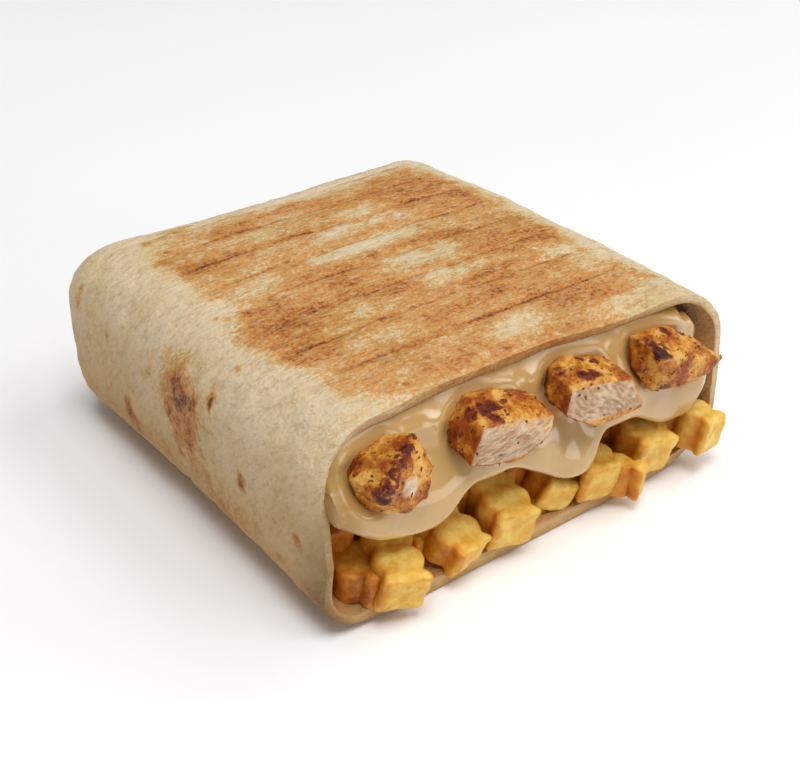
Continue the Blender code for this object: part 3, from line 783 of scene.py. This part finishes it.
chicken = {
    "depth": 7, "taper": 0.7,
    "voxel": 0.42, "wornRounds": 7, "swell": 1.015,
    "lumps": {
        "chicken_1": [
            (-42.5, -2.5, 54.6), (-51.5, -8.5, 52), (-56.5, -10, 47), (-48.5, -7.5, 36),
            (-42.5, -8, 38.5), (-39.8, -6, 45), (-60, 1, 46), (-55.5, 2, 50), (-46, 3, 51.5),
            (-57.8, -1, 38.5), (-54, -5, 36.5),
        ],
        "chicken_2": [
            (-29.3, -8, 41.5), (-25.5, -8, 51.5), (-15.5, -7, 51), (-2.5, -8.5, 47), (-6, -11, 43),
            (-14.5, -8.5, 37.3), (-30.3, 0, 44), (-27.8, 2, 48), (-20.5, 3, 53), (-12, 4, 52),
            (-4, 0, 50), (0, -5, 43),
        ],
        "chicken_3": [
            (2.8, -8, 43.5), (4.2, -8, 51), (11.5, -7, 51.5), (25, -9.5, 47.5), (27.5, -11.5, 40.5),
            (21, -10, 37.5), (14, -8.5, 36.3), (3, 0, 45), (6, 2, 51), (13.5, 3, 53), (25, 1, 49.5),
            (29.5, -4, 43.5), (31, -9, 36.2),
        ],
        "chicken_4": [
            (37, -10, 50), (43, -9, 40), (34.8, -1, 52.5), (34.2, -1, 44), (37.5, -5.5, 36.8),
            (50, 2, 50.4), (58.5, -1, 45), (62.6, -10, 40.9), (57, -10, 37.5), (45.5, -10, 37.7),
        ],
    },
    # charred spots: x, y, z, radius, strength
    "char": {
        "chicken_1": [
            (-43.3, -2.4, 54.6, 1.8, 0.8), (-46.9, -5.1, 53.2, 2.0, 1.0), (-50.4, -7.4, 52, 2.8, 0.7),
            (-53.2, -8.3, 50, 2.2, 0.7), (-55.5, -8.6, 47, 2.6, 0.8), (-55.4, -7, 43.8, 2.6, 1.3),
            (-56, 3, 47, 3.2, 0.6), (-42, -7.5, 40, 1.8, 0.5), (-49, -7.5, 36.8, 2, 0.4),
        ],
        "chicken_2": [
            (-23.5, -1, 51.3, 2.6, 0.8), (-20.4, -2, 52.5, 2.6, 1.0), (-17.7, -2, 52.3, 2.4, 1.0),
            (-20.3, -6, 51.6, 2.2, 0.9), (-13.3, -1, 51.5, 1.8, 0.5), (-27.3, 1, 44.6, 3.4, 0.7),
            (-28, -2.5, 43, 2.6, 0.9), (-3, -5, 49, 1.4, 0.7), (-9, 1, 51, 1.5, 0.5),
        ],
        "chicken_3": [
            (11.4, -5.1, 51.7, 2.4, 0.9), (15, -5.3, 51.1, 2.2, 1.0), (16.3, 1.7, 52, 1.8, 0.7),
            (20, -0.1, 50.8, 1.8, 0.8), (7.5, 3, 46, 2.8, 0.7), (5.2, -0.7, 44, 2.8, 0.9),
            (7.3, -0.1, 50.9, 2, 0.6), (29.5, -9, 38, 1.8, 0.5),
        ],
        "chicken_4": [
            (37.9, -3.2, 51.5, 2.2, 0.8), (37.9, -7.8, 50.5, 2.4, 1.3), (41, -6, 50.5, 1.8, 0.7),
            (47.2, -0.3, 50.2, 2, 0.9), (54, 0.4, 47.3, 2, 0.9), (62.5, -9.8, 40.3, 1.8, 1.1),
            (40.5, -7.5, 38.5, 2.2, 0.5), (37.5, -5, 44, 2.5, 0.25),
        ],
    },
    "charFade": (0.3, 1.5), "charRagged": 0.5, "raggedSize": 2.2,
    # where the pale inside shows: a spot, or the whole cut front with the way its fibres run
    "paleSpot": {"chicken_1": (-48.7, -9, 44.6, 3.2)},
    "cutFront": {"chicken_2": (0.97, 0.2), "chicken_3": (0.75, -0.66)},
    "cutY": -3, "cutZ": (38.6, 39.8), "cutFacing": (0.80, 0.9), "cutRagged": 0.06, "lowRagged": 0.5,
    # painted shade: how much darker its left and lower sides are painted
    "sideShade": {"chicken_1": 0.1, "chicken_2": 0.9, "chicken_3": 0.7, "chicken_4": 0.2},
    "sideShadeLeft": (0.1, 0.8), "sideShadeLow": (0.2, 0.8), "lowShare": 0.5,
    # relief of the crust and of the cut front's fibres, and their sizes
    "lump": 0.7, "lumpSize": 5.5, "crumb": 0.36, "crumbSize": 2.1, "grainSize": 0.95,
    "charRelief": 0.35, "charSize": 1.4,
    "fibre": 0.34, "fibreSize": 0.8, "fibreLength": 4, "fibreSwing": 0.8, "swingSize": 5,
    "cutDepth": 0.35, "cutCalm": 0.75,
    "relief": 0.8,
}


def makeLump(name, number):
    # the hull of the listed corners and the same ones smaller behind, worn round, then roughened
    look = chicken
    corners = [Vector(c) for c in look["lumps"][name]]
    middle = sum(corners, Vector()) / len(corners)
    back = Vector((0, look["depth"], 0))
    hidden = [middle + (c - middle) * look["taper"] + back for c in corners]
    bm = bmesh.new()
    for co in corners + hidden:
        bm.verts.new(middle + (co - middle) * look["swell"])
    hull = bmesh.ops.convex_hull(bm, input=bm.verts)
    inner = {g for g in hull["geom_interior"] + hull["geom_unused"] if isinstance(g, bmesh.types.BMVert)}
    bmesh.ops.delete(bm, geom=list(inner), context="VERTS")
    work = scratchObject(name + "Work", bm)
    remesh = work.modifiers.new("even", "REMESH")
    remesh.mode = "VOXEL"
    remesh.voxel_size = look["voxel"]
    bm = takeResult(work)
    axes = {"use_axis_x": True, "use_axis_y": True, "use_axis_z": True}
    for _ in range(look["wornRounds"]):
        bmesh.ops.smooth_vert(bm, verts=bm.verts, factor=0.5, **axes)
    bm.normal_update()
    values = {"crust": [], "char": [], "meat": [], "sideShade": []}
    cut = look["cutFront"].get(name)
    spot = look["paleSpot"].get(name)
    for vert in bm.verts:
        x, y, z = vert.co
        pale = 0.0
        if cut and y < look["cutY"]:
            facing = -vert.normal.y + look["cutRagged"] * wave(x, y, z, 3, number + 2)
            low = z + look["lowRagged"] * wave(x, y, z, 2, 8)
            pale = ease(facing, *look["cutFacing"]) * ease(low, *look["cutZ"])
        if spot:
            away = (vert.co - Vector(spot[:3])).length + wave(x, y, z, 2, 3)
            pale = 1 - ease(away, 0.5 * spot[3], spot[3])
        burnt = 0.0
        for cx, cy, cz, radius, strength in look["char"][name]:
            away = (vert.co - Vector((cx, cy, cz))).length / radius
            away *= 1 + look["charRagged"] * wave(x, y, z, look["raggedSize"], number + 5)
            burnt = max(burnt, strength * (1 - ease(away, *look["charFade"])))
        grain = 0.5 * look["crumb"] * wave(x, y, z, look["grainSize"], number + 9)
        rough = look["lump"] * wave(x, y, z, look["lumpSize"], number)
        rough += look["crumb"] * wave(x, y, z, look["crumbSize"], number + 4)
        rough += grain + look["charRelief"] * burnt * wave(x, y, z, look["charSize"], 6)
        if cut:
            along = cut[0] * x + cut[1] * z
            swing = look["fibreSwing"] * wave(x, y, z, look["swingSize"], 6)
            across = -cut[1] * x + cut[0] * z + swing
            length = look["fibreLength"]
            thread = 1 - 2.2 * abs(wave(along / length, across, y / length, look["fibreSize"], number))
            fibres = look["fibre"] * (thread - 0.6) - look["cutDepth"]
            rough = rough * (1 - look["cutCalm"] * pale) + pale * fibres
        values["crust"].append(rough)
        values["char"].append(burnt * (1 - pale))
        values["meat"].append(pale)
        # painted shade on the left and lower sides
        side = ease(-vert.normal.x, *look["sideShadeLeft"])
        side += look["lowShare"] * ease(-vert.normal.z, *look["sideShadeLow"])
        values["sideShade"].append(side * look["sideShade"][name])
        vert.co = vert.co + vert.normal * rough * look["relief"]
    return bm, values


def chickenMaterial():
    look = palette(
        pale=(224, 170, 84), gold=(200, 126, 30), brown=(150, 64, 6), red=(114, 34, 4),
        black=(44, 14, 6), speck=(78, 30, 8), meat=(226, 199, 166), pink=(182, 142, 107),
    )
    s = Shader("grilledChicken")
    crust = s.attribute("crust")
    char = s.attribute("char")
    meat = s.attribute("meat")
    blotch = s.noise(170, 5, 0.65)
    fine = s.noise(1300, 4, 0.6)
    value = s.plus(s.swing(blotch, 0, 0.9), s.times(crust, 0.25))
    value = s.plus(value, s.swing(fine, -0.12, 0.12))
    # painted shade: the left and lower sides darker
    value = s.plus(value, s.times(s.attribute("sideShade"), 0.4))
    colour = s.ramp(value, [(0.12, look["pale"]), (0.4, look["gold"]), (0.8, look["brown"])])
    speck = s.times(s.specks(800, (0.66, 0.76), (0.15, 0.42)), 0.8)
    colour = s.mix(speck, colour, look["speck"])
    ragged = s.swing(s.noise(640, 5, 0.75), -0.5, 0.5)
    burnt = s.plus(char, s.times(ragged, s.range(char, 0, 0.3, 0.5, 1)))
    colour = s.mix(s.range(burnt, 0.15, 0.6), colour, look["red"])
    colour = s.mix(s.range(burnt, 0.65, 1.2, 0, 0.95), colour, look["black"])
    strands = s.mix(s.range(crust, -0.6, -0.1), look["pink"], look["meat"])
    strands = s.mix(s.range(fine, 0.35, 0.7, 0, 0.3), strands, look["pink"])
    colour = s.mix(meat, colour, strands)
    rough = s.plus(s.swing(fine, 0.22, 0.42), s.times(meat, 0.25))
    normal = s.bump(s.noise(650, 5, 0.65), 0.0007, 0.7)
    normal = s.bump(fine, 0.0002, 0.5, normal)
    return s.finish(
        colour, rough, normal,
        Subsurface_Weight=0.15, Subsurface_Radius=(1.0, 0.4, 0.2), Subsurface_Scale=0.002,
        Specular_IOR_Level=0.3,
    )


def makeChicken():
    material = chickenMaterial()
    made = []
    for number, name in enumerate(chicken["lumps"], 1):
        bm, values = makeLump(name, number)
        lump = toObject(name.replace("_", "Lump"), bm, material, values)
        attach(lump, "root")
        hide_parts(name)
        made.append(lump)
        print("chicken lump made:", lump.name, len(lump.data.polygons), "faces")
    return made


# herbs: dark flakes lying on the chicken, the listed ones first, then strewn ones

herbs = {
    "listed": [
        (-52.9, 0.6, 50.6), (-48, 1.3, 51.9), (-56.9, -3.9, 47.3), (-41.9, -5.4, 49.2),
        (-41, -7, 45), (-45.4, -8.7, 41.7), (-48.6, -8.9, 42.5), (-52.3, -9.2, 44.3),
        (-56, 4.1, 43.1), (-56.6, -0.1, 39.8), (-54.5, -5, 38.5), (-43.5, -8.5, 47.5),
        (-25.4, 1.4, 49.3), (-26.7, 2.5, 45.7), (-25.9, -4.7, 49.2), (-16, -4.8, 51.3),
        (-6.6, 3.1, 50.2), (-16.7, 2.9, 52.6), (-3.5, -2.4, 49), (-22, -4, 52), (-27, -2, 47),
        (36.4, -3.3, 47.4), (38.9, 2.4, 42.4), (36.9, -3, 44.2), (38.1, -2, 40), (39, -3.2, 38.2),
        (40.1, -6.7, 39), (44.4, -10, 46.7), (50, -7, 46), (55, -6, 44.5), (57, -8, 41),
        (49, -9.5, 41), (8, -6, 51.8), (19, -4, 50.5), (24, -3, 49), (27.5, -7, 44), (6, -3, 48),
    ],
    # strewn on each lump, on what shows: in front of this y
    "strewn": 22, "strewnY": 2, "seed": 12,
    "long": (0.25, 0.65), "wide": (0.15, 0.4), "thick": 0.16, "above": 0.03,
    "ragged": 0.6, "raggedSize": 0.7, "curl": 0.25,
}


def herbMaterial():
    look = palette(dark=(46, 24, 12), green=(78, 62, 26), brown=(92, 44, 18))
    s = Shader("driedHerb")
    tint = s.noise(400, 3)
    colour = s.ramp(tint, [(0.35, look["dark"]), (0.52, look["green"]), (0.65, look["brown"])])
    return s.finish(colour, s.swing(tint, 0.5, 0.7), s.bump(s.noise(2500, 3), 0.0001, 0.5))


def makeHerbs(lumps):
    draw = random.Random(herbs["seed"])
    surfaces = [millimetreTree(lump) for lump in lumps]
    spots = [Vector(c) for c in herbs["listed"]]
    for verts, _ in surfaces:
        front = [v for v in verts if v.y < herbs["strewnY"]]
        spots += [draw.choice(front) for _ in range(herbs["strewn"])]
    bm = bmesh.new()
    for spot in spots:
        found = [tree.find_nearest(spot) for _, tree in surfaces]
        near, normal, _, _ = min(found, key=lambda hit: hit[3])
        made = bmesh.ops.create_icosphere(bm, subdivisions=2, radius=1)["verts"]
        long, wide = draw.uniform(*herbs["long"]), draw.uniform(*herbs["wide"])
        turned = draw.uniform(0, 50)
        spin = Matrix.Rotation(draw.uniform(0, 3.14), 4, "Z")
        for vert in made:
            x, y, z = vert.co
            ragged = 1 + herbs["ragged"] * wave(x, y, z, herbs["raggedSize"], turned)
            curl = herbs["curl"] * x * x
            vert.co = Vector((x * long * ragged, y * wide * ragged, z * herbs["thick"] + curl * wide))
        turn = normal.to_track_quat("Z", "Y").to_matrix().to_4x4() @ spin
        lift = Matrix.Translation(near + normal * herbs["above"])
        bmesh.ops.transform(bm, matrix=lift @ turn, verts=made)
    flakes = toObject("herbFlakes", bm, herbMaterial())
    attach(flakes, "root")
    print("herbs made:", len(flakes.data.polygons), "faces")


# sauce

sauce = {
    # the lower edge where it hangs at the mouth: x and z of its highest and lowest points
    "edge": [
        (-84, 42), (-38, 22.6), (-22, 31.2), (-14, 29.8), (12, 19.2),
        (15, 19.2), (24.5, 27.6), (33, 27.4), (52, 19.6), (57, 19.4), (66, 27), (70, 30),
    ],
    "stations": 200, "beyond": 2,       # rings across it, and how far they reach past the walls
    # over the top and down to the face: depth under the top, share of the way forward,
    # and how far behind
    "crest": [
        (3.2, 1, 12), (3.0, 1, 6), (2.9, 1, 4), (3.3, 1, 2.9), (4.1, 1, 2.2), (5.0, 1, 1.2),
        (5.9, 0.95, 0.5), (7.0, 0.84, 0), (8.2, 0.71, 0), (9.4, 0.58, 0),
    ],
    # how much lower the whole crest lies near the right wall, by x
    "crestDrop": [(48, 0), (56, 1.3), (62, 4.2), (68, 9)], "dropGrows": 12,
    "faceY": 3.0, "faceSteps": 30, "faceSway": 0.9,
    "lipRadius": 2.6, "lipSteps": 12, "lipTurn": 160, "lipY": -3.6,
    "shelfY": 7, "shelfAbove": 0.8, "floor": 20.9,
    # depth under the top behind the crest and at the back, and how far it ends before the back
    "behindDepth": 3.2, "backDepth": 1, "backIn": 2,
    # how the ends draw back beside the walls in front of this y: where it starts, how far, how suddenly
    "endsY": 30, "leftEnd": (59, 4, 2.2), "rightEnd": (62, 8, 2.4),
    # how near to the outer skin it may reach inside the wall; the room it has starts at this y
    "hiddenIn": 1.9, "roomFront": -14, "roomCell": 2,
    # how far it keeps off the wall at the top right
    "cornerIn": 1.0, "cornerX": (48, 66), "cornerY": (6, 16), "cornerZ": (34, 48),
    # shade under the rim by depth, beside the left wall, and round the lumps
    "shadeDepth": (4, 9), "beside": 0.8, "besideX": (55, 63), "besideZ": (27, 36),
    "contact": 0.4, "contactWidth": 1.5,
    # relief of the front: soft ripples and a collar where a lump goes in
    "reliefY": 14, "ripples": 0.35, "rippleSize": 13, "fineRipples": 0.04, "fineSize": 6,
    "calm": 0.6, "calmZ": (48, 53),
    "collar": 0.8, "collarWidth": 2.0, "collarAway": 2.8, "collarZ": (24, 30),
    "noCollarX": (56, 62), "noCollarZ": (36, 42),
    # soft bulges in front of this y: x, z, radius, height
    "foldY": 8,
    "folds": [
        (-31, 47, 7, 1.3), (-34, 31, 9, 1.3), (-38, 50, 5, 0.6), (-6, 49, 9, 0.7), (1, 31, 8, 0.5),
        (13.5, 22.5, 10, 2.4), (2, 46, 6, 0.8), (28, 47, 8, 1.1), (33, 44, 6, 0.9), (57, 30, 8, 1.1),
        (-20, 34, 7, 0.8), (-54, 31, 9, 0.9), (44, 31, 8, 0.8), (34, 37, 7, 0.8),
    ],
}


def sauceSection(x):
    # the outline at one x, from the back over the top, down the face, round the lip and back
    top = pocket["height"]
    edge = easedLine(x, sauce["edge"])
    start, reach, power = sauce["leftEnd"] if x < 0 else sauce["rightEnd"]
    recede = reach * clamp((abs(x) - start) / (pocket["width"] / 2 - start)) ** power
    radius = sauce["lipRadius"]
    rimY = puff((x, 0, top)).y + rimBackAt(x, 0, top)
    lower = easedLine(x, sauce["crestDrop"])
    crest = []
    for drop, share, behind in sauce["crest"]:
        y = sauce["faceY"] + (rimY - sauce["faceY"]) * share + behind
        crest.append((y, top - drop - lower * (1 + behind / sauce["dropGrows"])))
    low = top - sauce["behindDepth"] - 2 * lower
    upper = Vector(crest[-1])
    hanging = Vector((sauce["lipY"], edge + radius))
    face = []
    for i in range(1, sauce["faceSteps"]):
        share = i / sauce["faceSteps"]
        p = upper.lerp(hanging, share)
        face.append((p.x + sauce["faceSway"] * math.sin(2 * math.pi * share), p.y))
    lip = []
    for i in range(sauce["lipSteps"] + 1):
        angle = math.pi + math.radians(sauce["lipTurn"]) * i / sauce["lipSteps"]
        lip.append((
            hanging.x + radius + radius * math.cos(angle),
            hanging.y + radius * math.sin(angle),
        ))
    floor = sauce["floor"]
    shelfY = sauce["shelfY"]
    shelf = max(edge + sauce["shelfAbove"], floor)
    backY = pocket["depth"] - sauce["backIn"]
    under = [(shelfY, shelf), (shelfY + 3, max(floor, shelf - 1)), (shelfY + 6, floor), (backY, floor)]
    back = [(backY, top - sauce["backDepth"]), (60, low), (30, low)]
    outline = back + crest + face + lip + under
    return [(y + recede if y < sauce["endsY"] else y, z) for y, z in outline]


def sauceMaterial():
    look = palette(
        cheese=(201, 162, 98), warm=(194, 151, 85), herb=(120, 122, 60), shade=(214, 209, 206),
    )
    s = Shader("cheeseSauce")
    cloud = s.noise(70, 3, 0.5)
    # the sauce's own warmer tint, in soft clouds
    colour = s.mix(s.range(cloud, 0.35, 0.7, 0, 0.5), look["cheese"], look["warm"])
    colour = s.mix(s.times(s.specks(420, (0.93, 0.95), (0.1, 0.2)), 0.3), colour, look["herb"])
    colour = s.mix(s.attribute("shade"), colour, look["shade"], "MULTIPLY")
    normal = s.bump(s.noise(160, 2, 0.5), 0.0004, 0.2)
    made = s.finish(
        colour, s.swing(cloud, 0.2, 0.28), normal,
        Subsurface_Weight=0.3, Subsurface_Radius=(1.0, 0.6, 0.3), Subsurface_Scale=0.003,
        Specular_IOR_Level=0.4, Coat_Roughness=0.1, Coat_IOR=1.6,
    )
    s.set(s.surface.inputs["Coat Weight"], s.range(s.attribute("shade"), 0.2, 0.9, 1, 0.1))
    return made


def makeSauce(lumps):
    # rings of the outline, bridged from one side wall to the other
    bm = bmesh.new()
    reach = pocket["width"] / 2 + sauce["beyond"]
    last = sauce["stations"] - 1
    loops = []
    for i in range(last + 1):
        x = reach * (2 * i / last - 1)
        ring = [bm.verts.new((x, y, z)) for y, z in sauceSection(x)]
        loops.append([bm.edges.new((a, b)) for a, b in zip(ring, ring[1:] + ring[:1])])
        if i in (0, last):
            bm.faces.new(ring)
    for first, second in zip(loops, loops[1:]):
        bmesh.ops.bridge_loops(bm, edges=first + second)
    bmesh.ops.recalc_face_normals(bm, faces=bm.faces)
    bm.normal_update()
    surfaces = [millimetreTree(lump)[1] for lump in lumps]
    look = sauce
    for vert in bm.verts:
        x, y, z = vert.co
        if y > look["reliefY"]:
            continue
        away = min(tree.find_nearest(vert.co)[3] for tree in surfaces)
        collar = look["collar"] * math.exp(-((away - look["collarAway"]) / look["collarWidth"]) ** 2)
        none = ease(x, *look["noCollarX"]) * ease(z, *look["noCollarZ"])
        collar *= ease(z, *look["collarZ"]) * (1 - none)
        lift = look["ripples"] * wave(x, y, z, look["rippleSize"], 1)
        lift += look["fineRipples"] * wave(x, y, z, look["fineSize"], 2)
        lift += collar
        if y < look["foldY"]:
            for foldX, foldZ, radius, height in look["folds"]:
                apart = (x - foldX) ** 2 + (z - foldZ) ** 2
                lift += height * math.exp(-apart / (0.5 * radius * radius))
        lift *= 1 - look["calm"] * ease(z, *look["calmZ"])
        vert.co = vert.co + vert.normal * lift
    # what would stand out of the pocket is laid against the inside of its wall
    room = roundedBlock(look["hiddenIn"], look["roomFront"], look["roomCell"])
    wall = BVHTree.FromBMesh(room)
    room.free()
    shade = []
    for vert in bm.verts:
        near, outward, _, _ = wall.find_nearest(vert.co)
        if (vert.co - near).dot(outward) > 0:
            vert.co = near
        x, y, z = vert.co
        corner = look["cornerIn"] * (1 - ease(y, *look["cornerY"]))
        vert.co.x -= corner * ease(x, *look["cornerX"]) * ease(z, *look["cornerZ"])
        # in the shade under the rim, beside the left wall and where a lump goes in
        away = min(tree.find_nearest(vert.co)[3] for tree in surfaces)
        under = 1 - ease(pocket["height"] - z, *look["shadeDepth"])
        beside = look["beside"] * ease(-x, *look["besideX"]) * ease(z, *look["besideZ"])
        touching = look["contact"] * math.exp(-(away / look["contactWidth"]) ** 2)
        shade.append(clamp(max(under, beside) + touching))
    made = toObject("cheeseSauce", bm, sauceMaterial(), {"shade": shade}, 60)
    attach(made, "root")
    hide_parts("sauce")
    print("sauce made:", len(made.data.polygons), "faces")


# floor, light and camera

studio = {
    "azimuth": -37.48, "elevation": 31.86, "distance": 385.97, "aim": (0.91, 60.3, 19.93),
    "focalPixels": 1270.24, "imageWidth": 800, "sensor": 36, "clipStart": 0.01,
    "worldStrength": 0.26,
    # soft boxes: azimuth and elevation, metres away, size, power
    "lights": {
        "topBox": (-25, 74, 3.0, (1.5, 1.5), 55),
        "keyBox": (38, 50, 3.0, (1.1, 1.1), 16),
        "sideBox": (80, 50, 3.0, (0.8, 1.2), 12),
        "windowLeft": (18, 13, 2.5, (0.8, 1.1), 5.8),
        "windowRight": (56, 13, 2.5, (0.8, 1.1), 5.8),
    },
    "floorHalf": 1500, "floorDark": (0.94, 0.94, 0.94, 1), "floorLight": (0.96, 0.96, 0.96, 1),
    "floorRough": 0.8,
}


def direction(azimuth, elevation):
    a, e = math.radians(azimuth), math.radians(elevation)
    return Vector((math.sin(a) * math.cos(e), -math.cos(a) * math.cos(e), math.sin(e)))


def softBox(name, azimuth, elevation, away, size, power, aim):
    light = bpy.data.lights.new(name, "AREA")
    light.shape = "RECTANGLE"
    light.size, light.size_y = size
    light.energy = power
    obj = bpy.data.objects.new(name, light)
    bpy.context.scene.collection.objects.link(obj)
    back = direction(azimuth, elevation)
    obj.location = aim + back * away
    obj.rotation_euler = (-back).to_track_quat("-Z", "Y").to_euler()


def makeStudio():
    scene = bpy.context.scene
    scene.view_settings.view_transform = "Standard"
    world = bpy.data.worlds.new("studioWorld")
    world.use_nodes = True
    sky = world.node_tree.nodes["Background"]
    sky.inputs["Color"].default_value = (1, 1, 1, 1)
    sky.inputs["Strength"].default_value = studio["worldStrength"]
    scene.world = world

    floorShape = bmesh.new()
    bmesh.ops.create_grid(floorShape, x_segments=1, y_segments=1, size=studio["floorHalf"])
    s = Shader("studioFloor")
    tone = s.mix(s.swing(s.noise(3, 2), 0, 1), studio["floorDark"], studio["floorLight"])
    material = s.finish(tone, studio["floorRough"], s.bump(s.noise(900, 2), 0.0001, 0.1))
    toObject("studioFloor", floorShape, material)

    aim = toFrame @ Vector(studio["aim"])
    for name, light in studio["lights"].items():
        softBox(name, *light, aim)

    lens = bpy.data.cameras.new("studioCamera")
    lens.sensor_width = studio["sensor"]
    lens.lens = studio["focalPixels"] / studio["imageWidth"] * studio["sensor"]
    lens.clip_start = studio["clipStart"]
    camera = bpy.data.objects.new("studioCamera", lens)
    scene.collection.objects.link(camera)
    back = direction(studio["azimuth"], studio["elevation"])
    camera.location = aim + back * studio["distance"] / 1000
    camera.rotation_euler = (-back).to_track_quat("-Z", "Y").to_euler()
    scene.camera = camera
    print("studio ready")


makeTortilla()
makeFries()
lumps = makeChicken()
makeHerbs(lumps)
makeSauce(lumps)
makeStudio()
